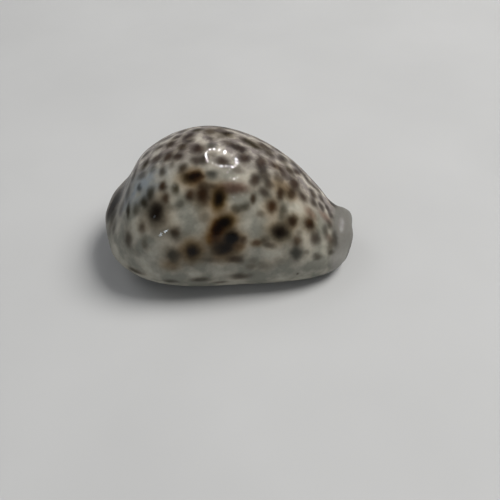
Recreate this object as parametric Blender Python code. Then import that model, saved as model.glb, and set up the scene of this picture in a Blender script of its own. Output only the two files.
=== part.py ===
"""A tiger cowrie shell, resting on its base.

+X is the front (siphon) end, -X the broad back (spire) end, -Y the outer-lip side and +Y the inner-lip
side.  The origin is on the surface it rests on, under the middle of the shell.  The shell is one wall of
its real thickness, rolled over so that its two lips face each other along the slit in the base.
"""
from math import pi

import bmesh
import bpy
import numpy as np

# Driving dimensions, in metres.
HEIGHT = 0.0422          # resting surface to the top of the back
HALF_WIDTH = 0.0285      # middle line to the inner-lip side at the broadest place
END_WALLS = 0.0793       # the length that the profiles are drawn along
BACK_END = -0.0395       # where they start
FIRST, LAST = 0.007, 0.997       # shares of END_WALLS where the walls stop and the rims round over
RIM_ROUNDNESS = 1.35     # how far the rims run on before they turn, as a share of the wall they close
LIP_BULGE = 0.0012       # how far the rounded lips stand into the slit
LIP_RUN = 4              # how far a lip's rounding runs on before it turns, in bulges
MIDDLE_LINE = -0.00085   # the line under the crown, which leaves the box's middle at the origin
FRONT_NOTCH = 0.0005     # depth of the dip in the front rim, over the siphon canal
BACK_NOTCH = 0.0004      # the same at the back rim
FRONT_SLANT = (0.0025, 0.0035)    # how far the front rim draws back at the outer and inner lip
BACK_SLANT = (0.0021, 0.0042)     # the same at the back rim
END_ZONE = 0.20          # share of the length over which each end draws back
CANAL_WIDTH = 0.16       # width of the dips over the canals, as a share of the half way round

# Mesh fineness.
STATIONS = 48
DOME_STEPS = 20
EDGE_STEPS = 4
BASE_STEPS = 3
ROUNDING_STEPS = 5
END_CROWDING = 0.45      # how much closer together the stations stand towards the two ends

# Profiles along the shell.  Each point is (share of the length from the back end, value).  Heights are
# shares of HEIGHT and the sides shares of HALF_WIDTH.  The slit and the walls are in metres, and the
# chamber's sides are measured from the line of the slit.
CROWN = [(0, .43), (.025, .465), (.055, .515), (.08, .585), (.12, .715), (.2, .855), (.3, .955), (.4, .995),
         (.52, .965), (.65, .87), (.77, .712), (.865, .53), (.92, .405), (.95, .37), (.975, .365), (1, .34)]
NEAR_SIDE = [(0, .37), (.03, .56), (.07, .69), (.13, .82), (.22, .92), (.35, .94), (.46, .895), (.6, .82),
             (.74, .745), (.86, .65), (.93, .55), (.965, .48), (1, .36)]
FAR_SIDE = [(0, .37), (.03, .565), (.07, .68), (.13, .79), (.22, .91), (.35, .99), (.46, 1), (.6, .92),
            (.74, .75), (.86, .525), (.93, .39), (.965, .35), (1, .32)]
MARGIN_HEIGHT = [(0, .25), (.1, .285), (.3, .3), (.5, .29), (.7, .26), (.85, .22), (1, .17)]
BASE_HEIGHT = [(0, .125), (.06, .08), (.15, .035), (.3, 0), (.5, -.009), (.7, -.007), (.85, .008),
               (.95, .03), (1, .055)]
SLIT_LINE = [(0, .0026), (.12, .0016), (.3, .0002), (.5, -.0008), (.7, -.0006), (.85, .0002), (1, .0008)]
SLIT_HALF_WIDTH = [(0, .0021), (.08, .0019), (.3, .0019), (.5, .0022), (.7, .0026), (.85, .0028),
                   (1, .0027)]
ROOF_WALL = [(0, .0072), (.06, .0078), (.14, .0044), (.3, .0023), (.6, .0021), (.8, .0030), (.92, .0052),
             (1, .0050)]
CHAMBER_NEAR = [(0, .0046), (.04, .0060), (.09, .0108), (.16, .0180), (.28, .0222), (.42, .0220),
                (.6, .0190), (.74, .0158), (.84, .0110), (.91, .0070), (1, .0054)]
CHAMBER_FAR = [(0, .0040), (.04, .0048), (.09, .0084), (.16, .0152), (.28, .0212), (.42, .0240),
               (.6, .0215), (.74, .0158), (.84, .0094), (.91, .0060), (1, .0048)]
FLOOR_WALL = [(0, .0042), (.1, .0050), (.3, .0056), (.6, .0056), (.85, .0046), (1, .0034)]
LIP_RISE = .0016         # how far each lip turns up out of the base, into the slit
INNER_LIP_RISE = [(0, .0004), (.18, .0030), (.82, .0030), (1, .0004)]   # reach of the inner lip inside
OUTER_LIP_REACH = 1 / 3          # reach of the outer lip inside, as a share of the inner lip's
LOW_LINE = .48           # where the base is lowest, as a share of the way from the slit to the side
DOME_POWERS = (2.25, 2.12)       # fullness of the back across and upward; 2 is an ellipse


def along(profile, share):
    """A smooth curve through the profile's points, read at each share of the length."""
    points = np.array(profile, float)
    at, value = points[:, 0], points[:, 1]
    gap = np.diff(at)
    slope = np.diff(value) / gap
    tangent = np.concatenate([slope[:1],
                              (slope[:-1] * gap[1:] + slope[1:] * gap[:-1]) / (gap[:-1] + gap[1:]),
                              slope[-1:]])
    i = np.clip(np.searchsorted(at, share, side="right") - 1, 0, len(gap) - 1)
    s = (share - at[i]) / gap[i]
    return ((2 * s**3 - 3 * s**2 + 1) * value[i] + (s**3 - 2 * s**2 + s) * gap[i] * tangent[i]
            + (3 * s**2 - 2 * s**3) * value[i + 1] + (s**3 - s**2) * gap[i] * tangent[i + 1])


def stations():
    """Shares of the length at which the wall is drawn, closer together towards the two ends."""
    even = np.linspace(0, 1, STATIONS)[:, None]
    crowded = even * (1 - END_CROWDING) + (1 - np.cos(pi * even)) / 2 * END_CROWDING
    return FIRST + (LAST - FIRST) * crowded


def half_section(lip_y, lip_z, low_y, low_z, side_y, side_z):
    """One lip to one side, as seen from the end: up-turned lip, flat base, round margin."""
    base = np.linspace(0, 1, BASE_STEPS + 1)[None, :-1] * pi / 2
    edge = np.linspace(0, 1, EDGE_STEPS + 1)[None, :-1] * pi / 2
    base_y = low_y + (lip_y - low_y) * np.cos(base)
    base_z = low_z + (lip_z - low_z) * (1 - np.sin(base))
    edge_y = low_y + (side_y - low_y) * np.sin(edge)
    edge_z = side_z + (low_z - side_z) * np.cos(edge)
    return np.concatenate([base_y, edge_y], 1), np.concatenate([base_z, edge_z], 1)


def sheet(slit, near, far, side_z, crown_z, low_z, near_lip_z, far_lip_z):
    """Y and Z of one face of the wall: outer lip, over the back, to the inner lip, at each station.

    near and far are the distances from the middle line to either side, and slit is where the slit runs.
    """
    share = stations()
    gap = along(SLIT_HALF_WIDTH, share) + LIP_BULGE
    near_y, near_z = half_section(slit - gap, near_lip_z, slit - gap - (near - gap) * LOW_LINE, low_z,
                                  slit * 0 - near, side_z)
    far_y, far_z = half_section(slit + gap, far_lip_z, slit + gap + (far - gap) * LOW_LINE, low_z,
                                slit * 0 + far, side_z)
    turn = np.linspace(0, pi, DOME_STEPS + 1)[None, :]
    across, up = np.cos(turn), np.sin(turn)
    side = np.where(across > 0, near, far)
    dome_y = -np.sign(across) * np.abs(across) ** (2 / DOME_POWERS[0]) * side
    dome_z = side_z + (crown_z - side_z) * np.abs(up) ** (2 / DOME_POWERS[1])
    y = np.concatenate([near_y, dome_y, far_y[:, ::-1]], 1)
    z = np.concatenate([near_z, dome_z, far_z[:, ::-1]], 1)
    return y, z


def lengthwise(columns):
    """X of every point, with the two ends drawn back at the lips and over the canals."""
    share = stations()
    x = BACK_END + share * END_WALLS
    round_way = np.linspace(-1, 1, columns)[None, :]      # -1 outer lip, 0 crown, 1 inner lip
    fade_front = np.clip((share - 1 + END_ZONE) / END_ZONE, 0, 1) ** 2
    fade_back = np.clip((END_ZONE - share) / END_ZONE, 0, 1) ** 2
    for fade, notch, slant, sign in ((fade_front, FRONT_NOTCH, FRONT_SLANT, 1),
                                     (fade_back, BACK_NOTCH, BACK_SLANT, -1)):
        draw_back = np.where(round_way < 0, slant[0], slant[1]) * round_way**2
        draw_back = draw_back + notch * np.exp(-(round_way / CANAL_WIDTH) ** 2)
        x = x - sign * fade * draw_back
    return x


def wall_faces():
    """The outer and the inner face of the wall as two grids of points, stations by columns."""
    share = stations()
    slit = along(SLIT_LINE, share)
    crown = along(CROWN, share) * HEIGHT
    near = along(NEAR_SIDE, share) * HALF_WIDTH
    far = along(FAR_SIDE, share) * HALF_WIDTH
    side_z = along(MARGIN_HEIGHT, share) * HEIGHT
    low = along(BASE_HEIGHT, share) * HEIGHT
    floor = low + along(FLOOR_WALL, share)
    y, z = sheet(slit, near, far, side_z, crown, low, low + LIP_RISE, low + LIP_RISE)
    x = lengthwise(y.shape[1])
    outer = np.stack([x + 0 * y, y + MIDDLE_LINE, np.maximum(z, 0)], -1)      # worn flat where it rests
    lip_rise = along(INNER_LIP_RISE, share)
    y, z = sheet(slit, along(CHAMBER_NEAR, share) - slit, along(CHAMBER_FAR, share) + slit,
                 side_z + (floor - low) / 2, crown - along(ROOF_WALL, share), floor,
                 floor + lip_rise * OUTER_LIP_REACH, floor + lip_rise)
    inner = np.stack([x + 0 * y, y + MIDDLE_LINE, z], -1)
    return outer, inner


def rounding(outer_edge, outer_way, inner_edge, inner_way):
    """Points that carry the outer face round into the inner face, leaving each in its own direction.

    The ways are the two directions in which the faces leave, and their lengths say how far each runs on.
    """
    points = []
    for step in range(1, ROUNDING_STEPS):
        t = step / ROUNDING_STEPS
        points.append((2 * t**3 - 3 * t**2 + 1) * outer_edge + (t**3 - 2 * t**2 + t) * outer_way
                      + (3 * t**2 - 2 * t**3) * inner_edge + (t**2 - t**3) * inner_way)
    return points


def leaving(face, i, j):
    """The direction in which a face of the wall runs off its end at station i."""
    before = 1 if i == 0 else i - 1
    way = face[i, j] - face[before, j]
    return way / np.linalg.norm(way)


def shell_mesh():
    """The closed wall: outer face, inner face, and the rounded lips and rims that join them."""
    outer, inner = wall_faces()
    bm = bmesh.new()
    columns = outer.shape[1]
    outer_verts = [[bm.verts.new(p) for p in row] for row in outer]
    inner_verts = [[bm.verts.new(p) for p in row] for row in inner]
    for face, flip in ((outer_verts, False), (inner_verts, True)):
        for i in range(STATIONS - 1):
            for j in range(columns - 1):
                quad = [face[i][j], face[i + 1][j], face[i + 1][j + 1], face[i][j + 1]]
                bm.faces.new(quad[::-1] if flip else quad)

    # The border runs once round the wall: along the outer lip, over the front rim, back along the
    # inner lip and over the back rim.  The lips are rounded straight into the slit, and the rims turn
    # from that to following the two faces over the first few columns from each lip.
    last, end = STATIONS - 1, columns - 1
    border = [(i, 0) for i in range(last)] + [(last, j) for j in range(end)]
    border += [(i, end) for i in range(last, 0, -1)] + [(0, j) for j in range(end, 0, -1)]
    loops = []
    for i, j in border:
        rim = min(min(j, end - j) / BASE_STEPS, 1)       # 0 at a lip, 1 on the rest of a rim
        into_slit = np.array([0, 1 if j < end / 2 else -1, 0]) * LIP_BULGE * LIP_RUN
        full = RIM_ROUNDNESS * np.linalg.norm(outer[i, j] - inner[i, j])
        outer_way = (1 - rim) * into_slit + rim * full * leaving(outer, i, j)
        inner_way = (1 - rim) * into_slit + rim * full * leaving(inner, i, j)
        between = rounding(outer[i, j], outer_way, inner[i, j], inner_way)
        loops.append([outer_verts[i][j]] + [bm.verts.new(p) for p in between] + [inner_verts[i][j]])
    for here, ahead in zip(loops, loops[1:] + loops[:1]):
        for k in range(ROUNDING_STEPS):
            bm.faces.new([here[k], here[k + 1], ahead[k + 1], ahead[k]])
    bmesh.ops.triangulate(bm, faces=bm.faces[:])
    return bm


def glossy_shell():
    """Cream-white shell under clear enamel."""
    material = bpy.data.materials.new("glossy_shell")
    material.use_nodes = True
    shader = material.node_tree.nodes["Principled BSDF"]
    shader.inputs["Base Color"].default_value = (0.50, 0.46, 0.40, 1)
    shader.inputs["Roughness"].default_value = 0.22
    shader.inputs["Metallic"].default_value = 0.0
    return material


def build():
    for item in list(bpy.data.objects):
        bpy.data.objects.remove(item, do_unlink=True)
    bm = shell_mesh()
    mesh = bpy.data.meshes.new("shell")
    bm.to_mesh(mesh)
    bm.free()
    mesh.shade_smooth()
    mesh.materials.append(glossy_shell())
    shell = bpy.data.objects.new("shell", mesh)
    bpy.context.scene.collection.objects.link(shell)


build()
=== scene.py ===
"""A tiger cowrie shell, resting on its base on a pale table.

+X is the front (siphon) end, -X the broad back (spire) end, -Y the outer-lip side and +Y the inner-lip
side.  Everything is in metres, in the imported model's own frame.
"""
from math import cos, pi, radians, sin

import bpy
import numpy as np
from mathutils import Matrix, Vector, noise


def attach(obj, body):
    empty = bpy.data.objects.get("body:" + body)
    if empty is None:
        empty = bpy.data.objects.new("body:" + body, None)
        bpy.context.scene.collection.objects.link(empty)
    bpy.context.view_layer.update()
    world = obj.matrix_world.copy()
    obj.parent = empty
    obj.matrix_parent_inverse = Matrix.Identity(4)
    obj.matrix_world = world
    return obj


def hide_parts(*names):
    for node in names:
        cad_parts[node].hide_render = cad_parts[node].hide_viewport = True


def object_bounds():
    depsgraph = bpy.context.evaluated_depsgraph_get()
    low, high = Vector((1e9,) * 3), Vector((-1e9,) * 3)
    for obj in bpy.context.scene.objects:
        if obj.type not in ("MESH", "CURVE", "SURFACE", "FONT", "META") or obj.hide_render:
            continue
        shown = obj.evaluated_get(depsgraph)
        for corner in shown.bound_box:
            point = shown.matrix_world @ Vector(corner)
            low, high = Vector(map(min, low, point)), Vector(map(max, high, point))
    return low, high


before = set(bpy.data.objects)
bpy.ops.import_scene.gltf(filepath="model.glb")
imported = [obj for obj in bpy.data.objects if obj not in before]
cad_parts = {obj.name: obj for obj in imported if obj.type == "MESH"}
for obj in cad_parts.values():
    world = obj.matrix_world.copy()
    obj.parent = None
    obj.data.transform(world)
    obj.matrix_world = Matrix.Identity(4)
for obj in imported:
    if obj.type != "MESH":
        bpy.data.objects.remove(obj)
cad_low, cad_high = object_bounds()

# ----------------------------------------------------------------------------------------------------
# The wall of the shell.  Hard, chalk-white shell stuff, 2 mm thick over the back and up to 8 mm at the
# ends, that the animal laid down as one sheet rolled up round itself: a domed back, round margins, and a
# flat base in which two lips face each other across a narrow slit.  It grew in one piece, on no fixing.
# ----------------------------------------------------------------------------------------------------
height = 0.0422          # table to the top of the back
half_width = 0.0285      # middle line to the inner-lip side at the broadest place
end_walls = 0.0793       # the length that the lines below are drawn along
back_end = -0.0395       # where they start
first_share, last_share = 0.007, 0.997   # of end_walls, where the walls stop and the rims round over
rim_roundness = 1.35     # how far the rims run on before they turn, as a share of the wall they close
lip_bulge = 0.0012       # how far the rounded lips stand into the slit
lip_run = 4              # how far a lip's rounding runs on before it turns, in bulges
middle_line = -0.00085   # the line under the crown
front_notch, front_slant = 0.0005, (0.0025, 0.0035)    # dip over the canal, and draw-back at each lip
back_notch, back_slant = 0.0004, (0.0021, 0.0042)

# Each point is (share of the length from the back end, value).  Heights are shares of the height and
# sides shares of half_width.  The slit and the walls are in metres.
crown_line = [(0, .43), (.025, .465), (.055, .515), (.08, .585), (.12, .715), (.2, .855), (.3, .955),
              (.4, .995), (.52, .965), (.65, .87), (.77, .712), (.865, .53), (.92, .405), (.95, .37),
              (.975, .365), (1, .34)]
near_side = [(0, .37), (.03, .56), (.07, .69), (.13, .82), (.22, .92), (.35, .94), (.46, .895),
             (.6, .82), (.74, .745), (.86, .65), (.93, .55), (.965, .48), (1, .36)]
far_side = [(0, .37), (.03, .565), (.07, .68), (.13, .79), (.22, .91), (.35, .99), (.46, 1), (.6, .92),
            (.74, .75), (.86, .525), (.93, .39), (.965, .35), (1, .32)]
margin_height = [(0, .25), (.1, .285), (.3, .3), (.5, .29), (.7, .26), (.85, .22), (1, .17)]
base_height = [(0, .125), (.06, .08), (.15, .035), (.3, 0), (.5, -.009), (.7, -.007), (.85, .008),
               (.95, .03), (1, .055)]
slit_line = [(0, .0026), (.12, .0016), (.3, .0002), (.5, -.0008), (.7, -.0006), (.85, .0002), (1, .0008)]
slit_half_width = [(0, .0021), (.08, .0019), (.3, .0019), (.5, .0022), (.7, .0026), (.85, .0028),
                   (1, .0027)]
roof_wall = [(0, .0072), (.06, .0078), (.14, .0044), (.3, .0023), (.6, .0021), (.8, .0030), (.92, .0052),
             (1, .0050)]
chamber_near = [(0, .0046), (.04, .0060), (.09, .0108), (.16, .0180), (.28, .0222), (.42, .0220),
                (.6, .0190), (.74, .0158), (.84, .0110), (.91, .0070), (1, .0054)]
chamber_far = [(0, .0040), (.04, .0048), (.09, .0084), (.16, .0152), (.28, .0212), (.42, .0240),
               (.6, .0215), (.74, .0158), (.84, .0094), (.91, .0060), (1, .0048)]
floor_wall = [(0, .0042), (.1, .0050), (.3, .0056), (.6, .0056), (.85, .0046), (1, .0034)]
lip_rise = 0.0016        # how far each lip turns up out of the base, into the slit
inner_lip_rise = [(0, .0004), (.18, .0030), (.82, .0030), (1, .0004)]
outer_lip_reach = 1 / 3  # reach of the outer lip inside, as a share of the inner lip's
low_line = 0.48          # where the base is lowest, as a share of the way from the slit to the side
dome_powers = (2.25, 2.12)       # fullness of the back across and upward; 2 is an ellipse

# How fine the surface is: places along the shell, then steps round it over the base, the margin and the
# back.  The inside is drawn once in every `inside_step` places, which divides both counts.
places = 248
base_steps, margin_steps, back_steps = 22, 32, 216
round_steps = 2 * (base_steps + margin_steps) + back_steps
inside_step = 4
rounding_steps = 8


def along(line, share):
    """A smooth curve through a line's points, read at each share of the length."""
    points = np.array(line, float)
    at, value = points[:, 0], points[:, 1]
    gap = np.diff(at)
    slope = np.diff(value) / gap
    tangent = np.concatenate([slope[:1],
                              (slope[:-1] * gap[1:] + slope[1:] * gap[:-1]) / (gap[:-1] + gap[1:]),
                              slope[-1:]])
    i = np.clip(np.searchsorted(at, share, side="right") - 1, 0, len(gap) - 1)
    s = (share - at[i]) / gap[i]
    return ((2 * s**3 - 3 * s**2 + 1) * value[i] + (s**3 - 2 * s**2 + s) * gap[i] * tangent[i]
            + (3 * s**2 - 2 * s**3) * value[i + 1] + (s**3 - s**2) * gap[i] * tangent[i + 1])


def half_round(lip_y, lip_z, low_y, low_z, side_y, side_z):
    """One lip to one side, seen from the end: up-turned lip, flat base, round margin."""
    base = np.linspace(0, 1, base_steps + 1)[None, :-1] * pi / 2
    edge = np.linspace(0, 1, margin_steps + 1)[None, :-1] * pi / 2
    base_y = low_y + (lip_y - low_y) * np.cos(base)
    base_z = low_z + (lip_z - low_z) * (1 - np.sin(base))
    edge_y = low_y + (side_y - low_y) * np.sin(edge)
    edge_z = side_z + (low_z - side_z) * np.cos(edge)
    return np.concatenate([base_y, edge_y], 1), np.concatenate([base_z, edge_z], 1)


def wall_face(slit, near, far, side_z, crown_z, low_z, near_lip_z, far_lip_z):
    """Y and Z of one face of the wall, from the outer lip over the back to the inner lip."""
    gap = along(slit_half_width, share) + lip_bulge
    near_y, near_z = half_round(slit - gap, near_lip_z, slit - gap - (near - gap) * low_line, low_z,
                                slit * 0 - near, side_z)
    far_y, far_z = half_round(slit + gap, far_lip_z, slit + gap + (far - gap) * low_line, low_z,
                              slit * 0 + far, side_z)
    turn = np.linspace(0, pi, back_steps + 1)[None, :]
    across, up = np.cos(turn), np.sin(turn)
    side = np.where(across > 0, near, far)
    back_y = -np.sign(across) * np.abs(across) ** (2 / dome_powers[0]) * side
    back_z = side_z + (crown_z - side_z) * np.abs(up) ** (2 / dome_powers[1])
    return (np.concatenate([near_y, back_y, far_y[:, ::-1]], 1),
            np.concatenate([near_z, back_z, far_z[:, ::-1]], 1))


end_crowding = 0.25      # how much closer together the places are towards the two ends
even = np.linspace(0, 1, places + 1)[:, None]
crowded = even * (1 - end_crowding) + (1 - np.cos(pi * even)) / 2 * end_crowding
share = first_share + (last_share - first_share) * crowded
round_way = np.linspace(-1, 1, round_steps + 1)[None, :]      # -1 outer lip, 0 crown, 1 inner lip
end_zone = 0.20          # share of the length over which the rims draw back
canal_width = 0.16       # of the dips over the two canals, as a share of the half way round
wall_x = back_end + share * end_walls
near_front, near_back = (share - 1 + end_zone) / end_zone, (end_zone - share) / end_zone
for nearness, notch, slant, sign in ((near_front, front_notch, front_slant, 1),
                                     (near_back, back_notch, back_slant, -1)):
    draw_back = np.where(round_way < 0, slant[0], slant[1]) * round_way**2
    draw_back = draw_back + notch * np.exp(-(round_way / canal_width) ** 2)
    wall_x = wall_x - sign * np.clip(nearness, 0, 1) ** 2 * draw_back

slit = along(slit_line, share)
crown = along(crown_line, share) * height
side_z = along(margin_height, share) * height
low_z = along(base_height, share) * height
inner_low_z = low_z + along(floor_wall, share)
y, z = wall_face(slit, along(near_side, share) * half_width, along(far_side, share) * half_width,
                 side_z, crown, low_z, low_z + lip_rise, low_z + lip_rise)
outer = np.stack([wall_x, y + middle_line, z], -1)
rise = along(inner_lip_rise, share)
y, z = wall_face(slit, along(chamber_near, share) - slit, along(chamber_far, share) + slit,
                 side_z + (inner_low_z - low_z) / 2, crown - along(roof_wall, share), inner_low_z,
                 inner_low_z + rise * outer_lip_reach, inner_low_z + rise)
inner = np.stack([wall_x, y + middle_line, z], -1)


def surface_normals(grid):
    """Outward directions at every point of a grid that runs places by steps round."""
    normal = np.cross(np.gradient(grid, axis=0), np.gradient(grid, axis=1))
    return normal / np.maximum(np.linalg.norm(normal, axis=-1, keepdims=True), 1e-12)


outward = surface_normals(outer)

# ----------------------------------------------------------------------------------------------------
# The teeth.  Blunt ribs of the same white shell that cross both lips at right angles to the slit, about
# two dozen on the outer lip and finer, shorter ones on the inner lip.  They grew as folds of the wall's
# surface, run a few millimetres out over the base, and die away inside the slit.
# ----------------------------------------------------------------------------------------------------
outer_teeth, inner_teeth = 25, 23
tooth_height = 0.00042
tooth_footing = 0.45     # share of that height that lies in the groove, below the plain surface
tooth_roundness = 0.7    # under 1 makes the teeth broader than their grooves
tooth_taper = 1.3        # how fast they sink into the base away from the lip
outer_tooth_reach, inner_tooth_reach = 0.0062, 0.0040      # out over the base from the lip
toothed_part = (0.075, 0.955)                              # share of the length that bears teeth
low_end_teeth = 12       # the teeth rise to full height over one part in so many at each end of the row
inner_shift = 0.004      # share of the length by which the inner teeth stand nearer the back end
lip_distance = np.abs(outer[:, :, 1] - middle_line - slit) - along(slit_half_width, share) - lip_bulge
on_base = np.abs(round_way) > 1 - 2 * base_steps / round_steps


def ribs(count, shift):
    """Blunt ridges with round tops and narrower grooves, from 0 in a groove to 1 on a tooth."""
    start, stop = toothed_part
    way = (share + shift - start) / (stop - start)
    fade = np.clip(way * low_end_teeth, 0, 1) * np.clip((1 - way) * low_end_teeth, 0, 1)
    return fade * (0.5 + 0.5 * np.cos(2 * pi * count * way)) ** tooth_roundness


tooth = np.where(round_way < 0, ribs(outer_teeth, 0), ribs(inner_teeth, inner_shift))
tooth_reach = np.where(round_way < 0, outer_tooth_reach, inner_tooth_reach)
tooth_fade = np.clip(1 - lip_distance / tooth_reach, 0, 1) ** tooth_taper * on_base
outer = outer + outward * (tooth_height * tooth_fade * (tooth - tooth_footing))[:, :, None]

# The slow, hand-felt unevenness of a grown surface, under a tenth of a millimetre.
unevenness = 0.00007
swell_waves, ripple_waves = 95, 240      # to the metre
ripple_share = 0.4       # the finer waves' strength beside the slow ones'
swell = np.array([noise.noise(Vector(p) * swell_waves)
                  + ripple_share * noise.noise(Vector(p) * ripple_waves)
                  for p in outer.reshape(-1, 3)]).reshape(outer.shape[:2])
outer = outer + outward * (unevenness * swell)[:, :, None]
outer[:, :, 2] = np.maximum(outer[:, :, 2], 0)             # worn flat where the base rubs on the table

corners = []             # every point of the shell
tiles = []               # every face, as numbers of corners
sheet_places = []        # where each point lies on the flattened shell, for its surface map
shell_share = []         # share of the length of each point
shell_round = []         # way round of each point, as round_way, or one of the next two marks
border_mark, inside_mark = 1.5, 2.0      # for the points of the rounded border and of the inside face


def add_point(place, flat, at_share, at_round):
    """Keeps one more point of the shell and gives its number."""
    corners.append(tuple(place))
    sheet_places.append(flat)
    shell_share.append(at_share)
    shell_round.append(at_round)
    return len(corners) - 1


# The flattened shell: the outer face fills the lower two thirds, the inside a band above it, and the
# rounded border a narrow strip along the top.
outer_band, inside_band, border_band = (0.01, 0.66), (0.69, 0.90), (0.93, 0.985)
sheet_edge, sheet_width = 0.01, 0.98
outer_ids = np.arange((places + 1) * (round_steps + 1)).reshape(places + 1, round_steps + 1)
for i in range(places + 1):
    for j in range(round_steps + 1):
        flat = (sheet_edge + sheet_width * j / round_steps,
                outer_band[0] + (outer_band[1] - outer_band[0]) * i / places)
        add_point(outer[i, j], flat, share[i, 0], round_way[0, j])
for i in range(places):
    for j in range(round_steps):
        tiles.append((outer_ids[i, j], outer_ids[i + 1, j], outer_ids[i + 1, j + 1], outer_ids[i, j + 1]))

inside_ids = {}
for i in range(places + 1):
    for j in range(round_steps + 1):
        on_border = i in (0, places) or j in (0, round_steps)
        if on_border or (i % inside_step == 0 and j % inside_step == 0):
            flat = (sheet_edge + sheet_width * j / round_steps,
                    inside_band[0] + (inside_band[1] - inside_band[0]) * i / places)
            inside_ids[i, j] = add_point(inner[i, j], flat, share[i, 0], inside_mark)
for i in range(0, places, inside_step):
    for j in range(0, round_steps, inside_step):
        walk = [(i, j + k) for k in range(inside_step)]
        walk += [(i + k, j + inside_step) for k in range(inside_step)]
        walk += [(i + inside_step, j + inside_step - k) for k in range(inside_step)]
        walk += [(i + inside_step - k, j) for k in range(inside_step)]
        tiles.append(tuple(inside_ids[p] for p in walk if p in inside_ids))


def leaving(face, i, j):
    """The direction in which a face of the wall runs off its end at place i."""
    before = 1 if i == 0 else i - 1
    way = face[i, j] - face[before, j]
    return way / np.linalg.norm(way)


# The border runs once round the wall: along the outer lip, over the front rim, back along the inner lip
# and over the back rim.  The lips are rounded straight into the slit, with the teeth standing out of
# them, and the rims turn from that to following the two faces over the base from each lip.
border = [(i, 0) for i in range(places)] + [(places, j) for j in range(round_steps)]
border += [(i, round_steps) for i in range(places, 0, -1)] + [(0, j) for j in range(round_steps, 0, -1)]
loops = []
for n, (i, j) in enumerate(border):
    rim = min(min(j, round_steps - j) / base_steps, 1)          # 0 at a lip, 1 on the rest of a rim
    rim = rim * rim * (3 - 2 * rim)
    bulge = lip_bulge + tooth_height * (tooth[i, j] - tooth_footing)
    into_slit = np.array([0, 1 if j < round_steps / 2 else -1, 0]) * bulge * lip_run
    run = rim_roundness * np.linalg.norm(outer[i, j] - inner[i, j])
    outer_way = (1 - rim) * into_slit + rim * run * leaving(outer, i, j)
    inner_way = (1 - rim) * into_slit + rim * run * leaving(inner, i, j)
    loop = [outer_ids[i, j]]
    for step in range(1, rounding_steps):
        t = step / rounding_steps
        place = ((2 * t**3 - 3 * t**2 + 1) * outer[i, j] + (t**3 - 2 * t**2 + t) * outer_way
                 + (3 * t**2 - 2 * t**3) * inner[i, j] + (t**2 - t**3) * inner_way)
        flat = (sheet_edge + sheet_width * n / len(border),
                border_band[0] + (border_band[1] - border_band[0]) * t)
        loop.append(add_point(place, flat, share[i, 0], border_mark))
    loops.append(loop + [inside_ids[i, j]])
for here, ahead in zip(loops, loops[1:] + loops[:1]):
    for k in range(rounding_steps):
        tiles.append((here[k], here[k + 1], ahead[k + 1], ahead[k]))

shell_mesh = bpy.data.meshes.new("cowrie_shell")
shell_mesh.from_pydata(corners, [], tiles)
shell_mesh.shade_smooth()
shell = bpy.data.objects.new("cowrie_shell", shell_mesh)
bpy.context.scene.collection.objects.link(shell)

# ----------------------------------------------------------------------------------------------------
# The colour.  Spots of brown and black pigment that the animal's mantle laid in the top of the wall,
# with glassy enamel poured over them, so that their edges are soft and deeper ones look grey or violet.
# The back carries a crowd of them in a cream net; the sides have fewer, darker ones with amber edges.
# ----------------------------------------------------------------------------------------------------
# What each pigment leaves of red, green and blue light where it is thickest.
pigments = {"black": (.030, .021, .014), "brown": (.110, .058, .024), "reddish": (.190, .078, .036),
            "olive": (.095, .076, .036), "violet": (.115, .082, .070), "slate": (.100, .105, .102),
            "grey": (.140, .112, .088), "pink": (.470, .340, .310)}
amber = (.500, .300, .075)

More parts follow.
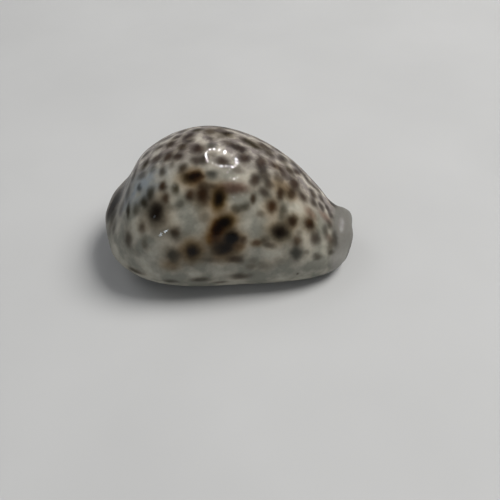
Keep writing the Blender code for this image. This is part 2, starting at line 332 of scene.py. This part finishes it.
# One spot a row: millimetres along the shell from just past the back rim, degrees round (0 on the
# outer-lip margin, 90 on the crown), length and breadth in millimetres, pigment, how thick it is, how much
# amber edges it, and the turn of the spot in degrees, if it is turned.
spots = [
    # The near side, from the back end.
    (20.0, 43.5, 4.6, 6.6, "black", 1.00, .45), (15.7, 52.5, 2.0, 3.0, "olive", .80, 0),
    (13.2, 49.0, 2.0, 3.0, "olive", .50, 0), (17.9, 57.5, 2.0, 3.4, "olive", .72, 0),
    (9.9, 51.0, 1.0, 4.0, "olive", .85, 0), (1.0, 33.0, 1.2, 3.5, "grey", .30, 0),
    (15.3, 35.0, 1.7, 2.4, "brown", .50, .2), (10.4, 25.5, 2.2, 4.2, "grey", .70, .1),
    (16.4, 22.0, 1.5, 2.5, "grey", .25, .2), (13.6, 13.0, 2.0, 2.0, "grey", .20, 0),
    (26.3, 28.5, 2.3, 3.2, "brown", .65, .2), (31.3, 16.0, 4.0, 4.6, "black", 1.00, .90),
    (25.3, 13.0, 3.6, 3.8, "slate", .75, .40), (24.5, 6.0, 3.5, 2.5, "grey", .15, .55),
    (23.0, 52.0, 2.0, 2.8, "brown", .72, .10), (25.8, 44.0, 2.5, 1.5, "olive", .25, 0),
    (27.8, 47.0, 2.0, 2.0, "olive", .40, 0), (12.0, -10.0, 4.0, 1.8, "grey", .60, .10),
    (23.7, -19.0, 3.4, 1.8, "grey", .50, 0), (21.6, 61.0, 2.0, 2.8, "brown", .88, .10),
    (25.9, 57.0, 1.8, 2.6, "olive", .72, .10), (29.6, 63.0, 3.6, 3.2, "olive", .92, .60),
    (31.8, 63.0, 2.8, 3.0, "brown", .85, .80),
    (39.2, 49.0, 2.8, 4.6, "black", 1.00, 1.0), (34.2, 51.5, 3.0, 5.4, "brown", .92, .50),
    (30.6, 51.5, 2.6, 2.8, "brown", .80, .20), (33.8, 63.0, 1.2, 1.0, "brown", .30, .2),
    (36.5, 57.5, 2.5, 1.6, "brown", .35, .3), (47.0, 45.5, 2.2, 2.2, "olive", .55, 0),
    (44.3, 43.5, 2.2, 2.0, "olive", .50, .2), (51.8, 43.0, 2.0, 1.5, "brown", .40, .1),
    (41.2, 34.0, 4.4, 3.0, "black", .95, 1.0, 25), (38.7, 29.0, 2.6, 3.4, "brown", .85, 1.0),
    (37.3, 23.0, 2.6, 2.2, "brown", .20, 1.0), (43.6, 24.5, 3.6, 3.6, "black", .92, .60),
    (43.6, 24.5, 2.6, 2.4, "black", .75, 0), (41.6, 17.5, 5.2, 4.8, "black", 1.00, .80),
    (45.9, 18.0, 1.6, 1.4, "grey", .20, .50), (47.2, 23.5, 1.6, 2.0, "brown", .60, .3),
    (50.8, 21.5, 1.8, 1.6, "reddish", .50, .6), (52.6, 24.5, 1.6, 1.2, "grey", .30, .2),
    (44.5, 9.5, 3.8, 2.2, "brown", .65, .2), (38.7, 16.0, 3.0, 3.0, "grey", .35, .2),
    (37.3, 9.5, 5.0, 1.6, "grey", .30, .2), (48.8, 3.5, 2.0, 1.6, "grey", .20, .2),
    (53.4, 4.5, 3.0, 2.5, "grey", .20, .2), (50.0, 8.0, 1.5, 1.5, "grey", .15, .1),
    (33.0, -15.0, 4.6, 1.8, "grey", .60, .1), (39.3, -25.0, 3.6, 1.6, "grey", .55, 0),
    (46.0, -12.0, 4.8, 2.2, "grey", .70, .1), (54.2, 21.5, 2.0, 1.2, "grey", .30, .1),
    (35.0, 36.5, 2.2, 2.2, "grey", .25, .2), (58.0, 34.5, 4.4, 4.0, "black", 1.00, .60),
    (61.8, 46.5, 2.2, 2.6, "brown", .80, .50), (67.3, 53.0, 2.6, 3.2, "brown", .90, .40),
    (67.6, 49.0, 2.0, 2.4, "violet", .35, .1), (55.0, 51.5, 2.6, 3.4, "brown", .90, .50),
    (58.8, 50.5, 1.8, 3.2, "olive", .50, .1), (53.3, 26.0, 1.6, 1.4, "grey", .30, .1),
    (69.3, 40.0, 2.8, 3.6, "violet", .72, 0), (64.2, 39.5, 1.6, 2.0, "grey", .35, 0),
    (63.6, 30.0, 2.2, 2.6, "brown", .65, .10), (63.6, 18.5, 3.6, 4.0, "slate", .90, .10),
    (72.7, 56.5, 1.8, 4.0, "violet", .50, 0), (76.0, 52.0, 1.6, 4.6, "grey", .55, 0),
    (74.6, 42.0, 1.6, 4.0, "grey", .50, 0),
    (70.3, 18.5, 2.2, 1.8, "grey", .55, 0), (75.0, 28.0, 1.4, 1.6, "grey", .50, 0),
    (67.0, 22.0, 1.4, 1.4, "grey", .30, 0), (64.1, -12.0, 0.6, 0.6, "brown", .80, 0),
    (55.3, 22.0, 3.0, 1.5, "grey", .35, .2), (73.8, 49.0, 1.8, 2.0, "pink", .40, 0),
    (58.0, 9.5, 2.4, 2.0, "grey", .20, .1),
    # The back end, where the wall turns steeply down.
    (1.0, 74.0, 2.4, 8.0, "violet", .80, 0), (1.2, 86.0, 2.0, 6.0, "grey", .80, 0),
    (3.6, 86.0, 1.8, 6.5, "violet", .85, 0), (6.8, 88.0, 1.2, 4.0, "olive", .60, 0),
    (6.3, 62.0, 1.6, 5.0, "grey", .55, 0), (8.6, 71.0, 1.4, 5.0, "grey", .60, 0),
    (9.6, 85.0, 1.2, 4.5, "olive", .80, 0), (2.4, 58.0, 1.4, 5.0, "grey", .50, 0),
    (4.0, 80.0, 5.0, 16.0, "grey", .25, 0), (8.5, 74.0, 3.0, 8.0, "grey", .20, 0),
    (3.8, 45.0, 1.2, 4.0, "grey", .40, 0), (5.0, 103.0, 1.6, 4.0, "grey", .60, 0),
    (12.6, 99.0, 2.2, 2.6, "grey", .60, 0), (13.8, 87.0, 2.2, 3.6, "olive", .75, 0),
    (13.6, 77.0, 2.6, 2.4, "grey", .50, 0), (13.3, 65.5, 1.2, 2.6, "slate", .60, 0),
    # The back, up to the crown and a little over it.
    (17.0, 97.0, 3.0, 2.4, "grey", .65, 0), (17.8, 86.0, 2.8, 3.4, "violet", .75, 0),
    (17.5, 77.0, 2.0, 2.6, "slate", .45, 0), (20.9, 72.5, 1.6, 3.0, "grey", .65, 0),
    (23.8, 75.0, 1.8, 2.0, "grey", .45, 0), (21.5, 94.0, 2.8, 3.0, "grey", .85, .15),
    (23.1, 100.5, 2.8, 2.2, "grey", .65, 0), (18.0, 107.5, 4.0, 2.6, "grey", .60, 0),
    (21.9, 83.5, 3.2, 3.6, "violet", .97, .10), (25.6, 80.5, 3.0, 3.2, "violet", .88, 0),
    (26.2, 89.5, 3.2, 3.4, "grey", .90, .10), (27.4, 97.5, 3.6, 4.2, "violet", .75, 0),
    (29.3, 106.0, 2.8, 3.2, "olive", .80, 0), (24.5, 111.0, 3.2, 3.0, "grey", .60, 0),
    (27.4, 70.5, 2.4, 3.0, "grey", .85, 0), (31.3, 86.0, 3.6, 3.8, "violet", .88, .10),
    (31.2, 76.0, 2.8, 3.2, "violet", .70, 0), (33.8, 76.5, 2.4, 3.0, "grey", .75, 0),
    (33.8, 103.0, 3.6, 5.0, "grey", .80, .10), (39.3, 103.0, 4.0, 4.0, "olive", .88, .10, -12),
    (35.3, 88.0, 2.6, 2.8, "slate", .65, 0), (36.9, 66.0, 3.0, 2.6, "slate", .75, 0),
    (32.8, 65.0, 1.5, 1.5, "olive", .60, .30), (39.6, 76.5, 3.6, 3.2, "violet", .80, 0),
    (41.2, 92.5, 3.8, 2.8, "violet", .70, 0, -10), (44.0, 90.5, 3.4, 3.2, "violet", .80, 0),
    (45.8, 84.5, 3.2, 4.6, "violet", .85, 0), (46.0, 102.0, 3.6, 2.8, "olive", .75, .10),
    (48.7, 99.5, 3.8, 3.0, "olive", .80, 0), (43.0, 116.0, 5.0, 3.0, "grey", .60, 0),
    (49.0, 116.0, 4.6, 3.0, "grey", .65, 0), (55.5, 116.0, 5.0, 3.0, "grey", .65, 0),
    (49.7, 68.5, 2.4, 4.0, "violet", .85, 0), (51.0, 86.0, 3.0, 5.6, "violet", .85, 0),
    (52.3, 76.0, 3.0, 4.0, "grey", .65, 0), (51.6, 105.0, 4.0, 3.2, "grey", .78, .10),
    (53.2, 98.0, 2.6, 3.2, "grey", .70, 0), (56.0, 89.5, 3.2, 2.8, "brown", .65, .20),
    (60.0, 93.5, 2.6, 3.0, "grey", .80, 0),
    (57.7, 100.0, 2.6, 3.4, "grey", .60, 0), (43.5, 58.0, 7.0, 3.2, "pink", .95, 0, 12),
    (45.0, 57.5, 4.4, 2.2, "reddish", .35, 0, 12),
    (52.5, 61.0, 3.0, 2.8, "violet", .72, 0), (49.3, 53.0, 1.6, 2.8, "brown", .75, .10),
    (53.8, 69.0, 2.4, 2.6, "violet", .65, 0), (57.8, 65.0, 1.9, 3.6, "brown", .75, .10),
    (61.0, 71.0, 2.0, 3.0, "brown", .60, .30), (58.5, 72.0, 4.0, 3.4, "grey", .15, .60),
    (61.7, 83.0, 3.4, 5.0, "violet", .95, .10, 12), (64.8, 76.0, 2.4, 3.2, "violet", .82, .10),
    (61.0, 111.0, 2.8, 3.4, "grey", .72, 0), (62.5, 98.0, 2.0, 2.4, "brown", .62, 0),
    (64.2, 106.0, 2.8, 2.6, "grey", .75, 0), (66.8, 101.5, 3.2, 2.2, "grey", .72, 0),
    (68.0, 88.0, 2.2, 2.8, "grey", .92, .10), (68.6, 79.0, 2.0, 2.6, "grey", .80, 0),
    (71.3, 94.0, 1.7, 2.4, "grey", .82, 0), (71.4, 83.0, 1.7, 2.2, "grey", .78, 0),
    (73.3, 90.0, 1.5, 2.2, "grey", .80, 0), (69.8, 103.0, 2.4, 2.0, "grey", .66, 0),
    (67.5, 65.0, 3.0, 2.4, "pink", .60, .10), (72.5, 75.0, 3.0, 2.6, "pink", .70, .10),
    (37.5, 97.5, 2.4, 2.2, "grey", .45, 0), (36.5, 82.0, 2.2, 2.0, "grey", .40, 0),
    (56.5, 79.0, 2.4, 2.6, "grey", .55, 0), (58.0, 85.5, 2.0, 2.6, "brown", .50, 0),
    (44.5, 72.5, 2.6, 2.4, "violet", .45, 0), (28.5, 92.5, 2.0, 1.8, "grey", .45, 0),
    (35.0, 94.0, 2.4, 2.0, "grey", .45, 0), (57.5, 105.5, 2.4, 2.4, "grey", .60, 0),
    (74.6, 84.0, 1.6, 2.4, "grey", .55, 0), (73.8, 70.0, 1.4, 2.6, "grey", .50, 0),
]

outward = surface_normals(outer)
point_at = np.array(corners)
point_share = np.array(shell_share)
point_round = np.array(shell_round)


def way_round(degrees):
    """Degrees round the shell (0 and 180 at the margins, 90 at the crown) as a place in the grid."""
    if degrees < 0:
        return base_steps + margin_steps * (degrees + 90) / 90
    if degrees > 180:
        return base_steps + margin_steps + back_steps + margin_steps * (degrees - 180) / 90
    return base_steps + margin_steps + back_steps * degrees / 180


steepest = 3.2           # most that a slope may lengthen a spot whose length is told along the axis
rim_run = 1.15           # millimetres of wall before the place that the rows are measured from
spotted_run = 82.6       # the whole wall, end to end, in the rows' millimetres


def grid_point(millimetres, degrees):
    """A point on the shell, its directions forward, round and outward, and how steeply it slopes."""
    i = int(np.abs(share[:, 0] - (millimetres + rim_run) / spotted_run).argmin())
    j = int(round(way_round(degrees)))
    forward = outer[min(i + 1, places), j] - outer[max(i - 1, 0), j]
    steepness = min(np.linalg.norm(forward) / forward[0], steepest)
    normal = outward[i, j]
    forward = forward - normal * (forward @ normal)
    forward /= np.linalg.norm(forward)
    return outer[i, j], forward, np.cross(normal, forward), normal, steepness


# The spots' outlines wander a little, as pigment does, so each point looks for its colour slightly off
# its own place.
wander_sizes = ((330, 0.00050), (900, 0.00022))          # waves per metre, and how far off
wander_seed = 11
noise.seed_set(wander_seed)              # without it the wandering would differ from run to run
wandering = point_at.copy()
for fineness, reach in wander_sizes:
    wandering += reach * np.array([noise.noise_vector(Vector(p) * fineness) for p in point_at])

back_rim_end = 0.02      # share of the length within which the border's points are the back rim's
back_rim = (point_round == border_mark) & (point_share < back_rim_end)
outside = (np.abs(point_round) <= 1) | back_rim
light_left = np.ones((len(corners), 3))
half_millimetres = 2000  # to the metre: a row tells a spot's width, and it is laid by its radius
spread = 1.28            # of each spot under the enamel, beyond the size told in the list
sharpness = 3.2          # of a spot's edge: 2 melts away, and 6 would be a disc
thinning = 0.7           # e to minus this, about half, is left of the pigment at a spot's radius
covering = 1.8           # how much faster than its thickness a pigment stops the light
pigment_depth = 3        # how deep a spot goes in the wall, in radii
stain_reach = 1.5        # of the amber edge, in radii
haze_reach = 1.75        # of the thin brown cloud round every spot, in radii
haze_share = 0.16        # how thick that cloud is beside its spot
haze = (.58, .53, .48)   # what it leaves of red, green and blue light
laid = []                # centre and radius of every spot so far


def lay_spot(millimetres, degrees, long, broad, pigment, thickness, edge, turned=0):
    """Lays one spot of pigment, and the amber stain round it, into the wall."""
    centre, forward, sideways, normal, steepness = grid_point(millimetres, degrees)
    offset = wandering - centre
    c, s = cos(radians(turned)), sin(radians(turned))
    ahead = offset @ (forward * c + sideways * s)
    across = offset @ (sideways * c - forward * s)
    depth = offset @ normal
    a = spread * long * steepness / half_millimetres
    b = spread * broad / half_millimetres
    mean = (a + b) / 2
    radius = np.sqrt((ahead / a) ** 2 + (across / b) ** 2 + (depth / (pigment_depth * mean)) ** 2)
    cover = (1 - (1 - thickness) ** covering) * np.exp(-thinning * radius ** sharpness)
    stain = min(edge, 1) * np.exp(-thinning * (radius / stain_reach) ** sharpness)
    cloud_round = thickness * haze_share * np.exp(-thinning * (radius / haze_reach) ** 2)
    for channel in range(3):
        light_left[:, channel] *= 1 - cloud_round * (1 - haze[channel])
        light_left[:, channel] *= 1 - cover * (1 - pigments[pigment][channel])
        light_left[:, channel] *= 1 - stain * (1 - amber[channel])
    laid.append((centre, mean))


for spot in spots:
    lay_spot(*spot)

# The far side and the rest of the back, which carry the same kinds of spot by chance.  The back is more
# crowded than the side, and spots fade out towards the base and are smaller at the two ends.
chance = np.random.default_rng(23)
tries, most_spots = 6000, 340
chance_run, chance_round = (1.5, 76), (-60, 232)         # millimetres along and degrees round to try
rows_run = 80            # millimetres along that the rows above cover
rows_end, rows_end_bow = 108, 8          # degrees round where they end, and how many more at both ends
back_edge = 135                          # degrees round where the back gives way to the side
faded_out, fading_run = 228, 50          # degrees round where spots have gone, and the run up to it
end_size, end_growth = 0.45, 0.035       # share of full size at the ends, and its growth per millimetre
chance_turn = (-40, 40)                  # degrees
back_habit = {"size": (1.6, 3.4), "room": .0005, "kinds": ["violet", "grey", "grey", "olive"],
              "breadth": (.8, 1.5), "thickness": (.55, .85), "edge": (0, .2)}
side_habit = {"size": (1.8, 4.6), "room": .0011,
              "kinds": ["black", "brown", "olive", "violet", "slate", "grey"],
              "breadth": (.8, 1.3), "thickness": (.6, 1), "edge": (0, .8)}
for attempt in range(tries):
    millimetres = chance.uniform(*chance_run)
    degrees = chance.uniform(*chance_round)
    past_rows = degrees > rows_end + rows_end_bow * abs(millimetres / (rows_run / 2) - 1)
    if not past_rows or len(laid) > most_spots:
        continue
    habit = back_habit if degrees < back_edge else side_habit
    size = chance.uniform(*habit["size"])
    size *= min(1, end_size + end_growth * min(millimetres, rows_run - millimetres))
    centre = grid_point(millimetres, degrees)[0]
    room = min(np.linalg.norm(centre - other) - radius for other, radius in laid)
    if room < size / half_millimetres + habit["room"]:
        continue
    fading = np.clip((faded_out - degrees) / fading_run, 0, 1)
    kind = chance.choice(habit["kinds"])
    breadth = size * chance.uniform(*habit["breadth"])
    thickness = chance.uniform(*habit["thickness"]) * fading
    edge = chance.uniform(*habit["edge"]) * fading
    lay_spot(millimetres, degrees, size, breadth, kind, thickness, edge, chance.uniform(*chance_turn))

# Where the pigment layer stops: base, lips, rims, the flange at the front end and the inside are bare.
# Degrees round run from -110 at the outer lip and -90 at the lowest line of the base to 0 at its margin,
# and over the back to 180, 270 and 290 on the inner-lip side.
degrees_round = np.interp((point_round + 1) / 2 * round_steps,
                          [0, base_steps, base_steps + margin_steps,
                           base_steps + margin_steps + back_steps,
                           round_steps - base_steps, round_steps], [-110, -90, 0, 180, 270, 290])


def rising(value, start, stop):
    """0 below start, 1 above stop, and a smooth rise between."""
    t = np.clip((value - start) / (stop - start), 0, 1)
    return t * t * (3 - 2 * t)


# Each zone rises between two places: shares of the length, degrees round or, at the rim, heights.
flange_wave, wave_run = 0.005, 9         # how far the flange's bare edge wavers, and over what degrees
wavy_share = point_share + flange_wave * np.sin(degrees_round / wave_run)
margin_bare = rising(-degrees_round, 40, 85) + rising(degrees_round, 220, 265)
bare = np.clip(margin_bare + rising(wavy_share, .915, .945), 0, 1)
bare[~outside] = 1
bare[back_rim] = 1 - rising(point_at[:, 2], .007, .014)[back_rim]
# A bluish patch on the upper near flank, over the back third: a painted reflection of the window light.
painted_window_sheen = (rising(point_share, .03, .14) * rising(-point_share, -.34, -.20)
          * rising(degrees_round, 45, 62) * rising(-degrees_round, -88, -70))
rim_netting = 0.7        # how much of the back's net runs on over the back rim
netted = rising(degrees_round, 62, 92) * rising(-degrees_round, -165, -140)
netted[back_rim] = rim_netting
flange_grey, back_grey = 0.73, 0.40      # how much thin grey pigment veils the front flange, and how much the back end is darkened
low_flange = 0.72        # share of the flange's grey that is left on its outer-lip side
flange_shade = low_flange + (1 - low_flange) * rising(degrees_round, 0, 45)
# The front flange's own grey, and a darkening of the back end everywhere but low on the near side.
ends_grey = (flange_grey * rising(wavy_share, .905, .940) * flange_shade
             + back_grey * rising(-point_share, -.10, -.02) * rising(degrees_round, 35, 60))
light_left[~outside] = 1
light_left *= 1 - ends_grey[:, None]

spot_layer = shell_mesh.attributes.new("pigment_spots", "FLOAT_COLOR", "POINT")
spot_layer.data.foreach_set("color", np.column_stack([light_left, np.ones(len(corners))])
                            .astype(np.float32).ravel())
# Three shares on each point: bare ground, the painted window reflection, and the back's net.
ground_and_sheen_layer = shell_mesh.attributes.new("ground_and_sheen_zones", "FLOAT_COLOR", "POINT")
ground_and_sheen_layer.data.foreach_set("color", np.column_stack([bare, painted_window_sheen, netted, np.ones(len(corners))])
                              .astype(np.float32).ravel())

surface_map = shell_mesh.uv_layers.new(name="OFBake")
corner_of = np.zeros(len(shell_mesh.loops), np.int32)
shell_mesh.loops.foreach_get("vertex_index", corner_of)
flat_places = np.array(sheet_places)[corner_of]
surface_map.data.foreach_set("uv", flat_places.astype(np.float32).ravel())

# ----------------------------------------------------------------------------------------------------
# The enamel.  A clear, glassy top coat over the pigment, poured by the mantle and polished by it, with
# fine pits, small flecks and patches dulled by handling.  Under it the ground is cream in places and grey
# in others, and a bluish patch on the upper near flank is a painted reflection of the window light.
# ----------------------------------------------------------------------------------------------------
side_ground = (.225, .222, .186, 1)
margin_ground = (.425, .404, .338, 1)
bare_ground = (.620, .600, .545, 1)
# The painted window reflection's bluish grey, laid on the upper near flank.
window_sheen_colour = (.235, .262, .280, 1)
net_ground = (.500, .470, .412, 1)
veiled_net = (.250, .225, .212, 1)
fleck = (.62, .56, .50, 1)               # what the fine brown flecks leave of the light

enamel = bpy.data.materials.new("cowrie_enamel")
enamel.use_nodes = True
nodes, links = enamel.node_tree.nodes, enamel.node_tree.links
shader = nodes["Principled BSDF"]
position = nodes.new("ShaderNodeTexCoord").outputs["Object"]


def cloud(fineness, detail, distortion=0.0):
    """Soft cloudiness through the shell, with so many waves to the metre."""
    texture = nodes.new("ShaderNodeTexNoise")
    texture.inputs["Scale"].default_value = fineness
    texture.inputs["Detail"].default_value = detail
    texture.inputs["Distortion"].default_value = distortion
    links.new(position, texture.inputs["Vector"])
    return texture.outputs["Fac"]


def levels(value, low, high, dark=0.0, bright=1.0):
    """Spreads a value between low and high over dark to bright."""
    stretch = nodes.new("ShaderNodeMapRange")
    for name, number in (("From Min", low), ("From Max", high), ("To Min", dark), ("To Max", bright)):
        stretch.inputs[name].default_value = number
    links.new(value, stretch.inputs["Value"])
    return stretch.outputs["Result"]


def blended(amount, first, second, way="MIX"):
    """Two colours, or a colour and a layer, joined in one of the ways paints join."""
    mix = nodes.new("ShaderNodeMix")
    mix.data_type = "RGBA"
    mix.blend_type = way
    for socket, value in ((mix.inputs["Factor"], amount), (mix.inputs[6], first), (mix.inputs[7], second)):
        if isinstance(value, (int, float, tuple)):
            socket.default_value = value
        else:
            links.new(value, socket)
    return mix.outputs[2]


def product(first, second):
    """Two values multiplied."""
    times = nodes.new("ShaderNodeMath")
    times.operation = "MULTIPLY"
    for socket, value in zip(times.inputs, (first, second)):
        if isinstance(value, (int, float)):
            socket.default_value = value
        else:
            links.new(value, socket)
    return times.outputs[0]


def layer(name):
    """One of the colour layers kept on the shell's points."""
    attribute = nodes.new("ShaderNodeAttribute")
    attribute.attribute_name = name
    return attribute.outputs["Color"]


zones = nodes.new("ShaderNodeSeparateColor")
links.new(layer("ground_and_sheen_zones"), zones.inputs["Color"])
bare_zone, window_sheen_zone, net_zone = zones.outputs

side_clouds = levels(cloud(140, 3), .40, .62)
ground = blended(side_clouds, side_ground, margin_ground)
net_veils = levels(cloud(300, 4, .4), .36, .57)
net = blended(net_veils, net_ground, veiled_net)
ground = blended(net_zone, ground, net)
# The painted window reflection, broken by clouds, over the ground on its patch.
window_sheen_clouds = levels(cloud(190, 3), .30, .60)
ground = blended(product(window_sheen_zone, window_sheen_clouds), ground, window_sheen_colour)
ground = blended(bare_zone, ground, bare_ground)
stained = blended(1.0, ground, layer("pigment_spots"), "MULTIPLY")
fine_flecks = levels(cloud(1100, 3), .35, .65, 0, .16)
mottled = blended(fine_flecks, stained, fleck, "MULTIPLY")
links.new(mottled, shader.inputs["Base Color"])

handled_dullness = levels(cloud(420, 5), .30, .75, .20, .40)
links.new(handled_dullness, shader.inputs["Roughness"])
shader.inputs["Metallic"].default_value = 0.0
shader.inputs["IOR"].default_value = 1.53
shader.inputs["Specular IOR Level"].default_value = 0.0
shader.inputs["Coat Weight"].default_value = 0.36
shader.inputs["Coat Roughness"].default_value = 0.036
shader.inputs["Coat IOR"].default_value = 1.5

pits = nodes.new("ShaderNodeBump")
pits.inputs["Strength"].default_value = 0.20
pits.inputs["Distance"].default_value = 0.00004
links.new(cloud(1700, 4), pits.inputs["Height"])
links.new(pits.outputs["Normal"], shader.inputs["Normal"])
links.new(pits.outputs["Normal"], shader.inputs["Coat Normal"])
shell_mesh.materials.append(enamel)

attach(shell, "root")
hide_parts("shell")

# ----------------------------------------------------------------------------------------------------
# The table.  A sheet of plain matt white card, lying flat and faintly cloudy, that the shell rests on by
# its own weight.  It throws soft light back up at the shell's sides.
# ----------------------------------------------------------------------------------------------------
table_size = 3.0
hair = 0.00003           # the table lies this far under the shell, so that no two faces coincide
table_top = cad_low.z - hair
card_shade, card_light = (.465, .465, .462, 1), (.490, .490, .487, 1)
table_mesh = bpy.data.meshes.new("table")
table_mesh.from_pydata([(x * table_size / 2, y * table_size / 2, table_top) for x, y in
                        ((-1, -1), (1, -1), (1, 1), (-1, 1))], [], [(0, 1, 2, 3)])
table = bpy.data.objects.new("table", table_mesh)
bpy.context.scene.collection.objects.link(table)
card = bpy.data.materials.new("white_card")
card.use_nodes = True
nodes, links = card.node_tree.nodes, card.node_tree.links
shader = nodes["Principled BSDF"]
position = nodes.new("ShaderNodeTexCoord").outputs["Object"]
card_clouds = levels(cloud(14, 3), .35, .65)
links.new(blended(card_clouds, card_shade, card_light), shader.inputs["Base Color"])
shader.inputs["Roughness"].default_value = 0.75
shader.inputs["Specular IOR Level"].default_value = 0.2
table_mesh.materials.append(card)

# ----------------------------------------------------------------------------------------------------
# The lamps.  A broad soft lamp overhead on the right and a weaker one on the left, which only give light,
# and small ones that show in the gloss: a ring and its sparks, four ceiling lamps and three window panes
# low on the left.  A dim grey room stands all round.
# ----------------------------------------------------------------------------------------------------
shell_middle = Vector((0, 0, 0.018))
lamp_distance, pane_distance = 0.8, 0.7


def lamp(name, direction, distance, size, watts, colour=(1, 1, 1)):
    """A round lamp of so many metres across, facing the shell from so far away."""
    light = bpy.data.lights.new(name, "AREA")
    light.shape = "DISK"
    light.size = size
    light.energy = watts
    light.color = colour
    holder = bpy.data.objects.new(name, light)
    away = Vector(direction).normalized()
    holder.location = shell_middle + away * distance
    holder.rotation_euler = (-away).to_track_quat("-Z", "Y").to_euler()
    bpy.context.scene.collection.objects.link(holder)
    return holder


broad_lamp = lamp("broad_lamp", (.50, .14, .86), 1.5, 0.80, 23.5, (1, .99, .97))
broad_lamp.visible_glossy = False
left_lamp = lamp("left_lamp", (-.62, .25, .74), 1.8, 1.20, 5.4, (.97, .98, 1))
left_lamp.visible_glossy = False

# The ring, whose lamps differ in brightness as those of a real fitting do, with its brightest at -X.
ring_middle = Vector((.145, .515, .835))
ring_across = Vector((.195, -.010, -.035))
ring_up = Vector((-.070, .230, -.140))
ring_lamps, ring_lamp_size, ring_watts = 18, 0.018, 0.42
plain_glow, glow_change, glow_waves = 0.6, 0.4, 7        # brightness, and how it changes round the ring
bright_spot, bright_narrowness = 2.0, 24                 # extra brightness at -X, and how narrow it is
for k in range(ring_lamps):
    turn = 2 * pi * k / ring_lamps
    brightness = (plain_glow + glow_change * sin(glow_waves * turn)
                  + bright_spot * max(-cos(turn), 0) ** bright_narrowness)
    ring_lamp = lamp(f"ring_lamp_{k}", ring_middle + ring_across * cos(turn) + ring_up * sin(turn),
                     lamp_distance, ring_lamp_size, ring_watts * brightness)
    ring_lamp.visible_diffuse = False

# Each ceiling lamp: its direction, size and watts.
for k, (direction, size, watts) in enumerate((((.388, -.027, .921), 0.012, 0.06),
                                              ((.384, -.530, .756), 0.012, 0.09),
                                              ((-.529, -.177, .830), 0.008, 0.012),
                                              ((-.320, -.644, .695), 0.008, 0.012))):
    lamp(f"ceiling_lamp_{k + 1}", direction, lamp_distance, size, watts)

# A few stray sparks of the fitting, strewn between the ring and the first ceiling lamp.
sparks = np.random.default_rng(5)
spark_count, spark_size, spark_watts, straying = 4, 0.008, 0.06, 0.035
spark_start, spark_end = Vector((.293, .234, .927)), Vector((.388, -.027, .921))
for k in range(spark_count):
    way = (k + 0.5) / spark_count
    stray = Vector(sparks.uniform(-straying, straying, 3))
    spark = lamp(f"spark_{k}", spark_start * (1 - way) + spark_end * way + stray,
                 lamp_distance, spark_size, spark_watts)
    spark.visible_diffuse = False

# Each window pane: its direction and watts.
pane_size, sky_blue = 0.045, (.75, .87, 1)
for k, (direction, watts) in enumerate((((-.370, -.908, .195), .14), ((-.440, -.886, .110), .09),
                                        ((-.699, -.544, .465), .012))):
    lamp(f"window_pane_{k}", direction, pane_distance, pane_size, watts, sky_blue)

room = bpy.data.worlds.new("room")
room.use_nodes = True
bpy.context.scene.world = room
room.node_tree.nodes["Background"].inputs["Color"].default_value = (.95, .97, 1, 1)
room.node_tree.nodes["Background"].inputs["Strength"].default_value = 0.19

bpy.context.scene.view_settings.view_transform = "Standard"
bpy.context.scene.view_settings.look = "None"

# ----------------------------------------------------------------------------------------------------
# The camera.  Held in the hand, above the outer-lip side and a little to the front end, looking down, so
# that the near flank and the top of the back both show.  It leans a little to one side.
# ----------------------------------------------------------------------------------------------------
camera = bpy.data.objects.new("camera", bpy.data.cameras.new("camera"))
camera.data.sensor_width = 36.0
camera.data.lens = 49.45
camera.data.clip_start = 0.01
camera.data.clip_end = 20
eye = Vector((0.02116, -0.17232, 0.16112))
aim = Vector((0.00686, -0.00251, 0.0))
tilt = radians(-0.806)
camera.matrix_world = (Matrix.Translation(eye) @ (aim - eye).to_track_quat("-Z", "Y").to_matrix().to_4x4()
                       @ Matrix.Rotation(tilt, 4, "Z"))
bpy.context.scene.collection.objects.link(camera)
bpy.context.scene.camera = camera
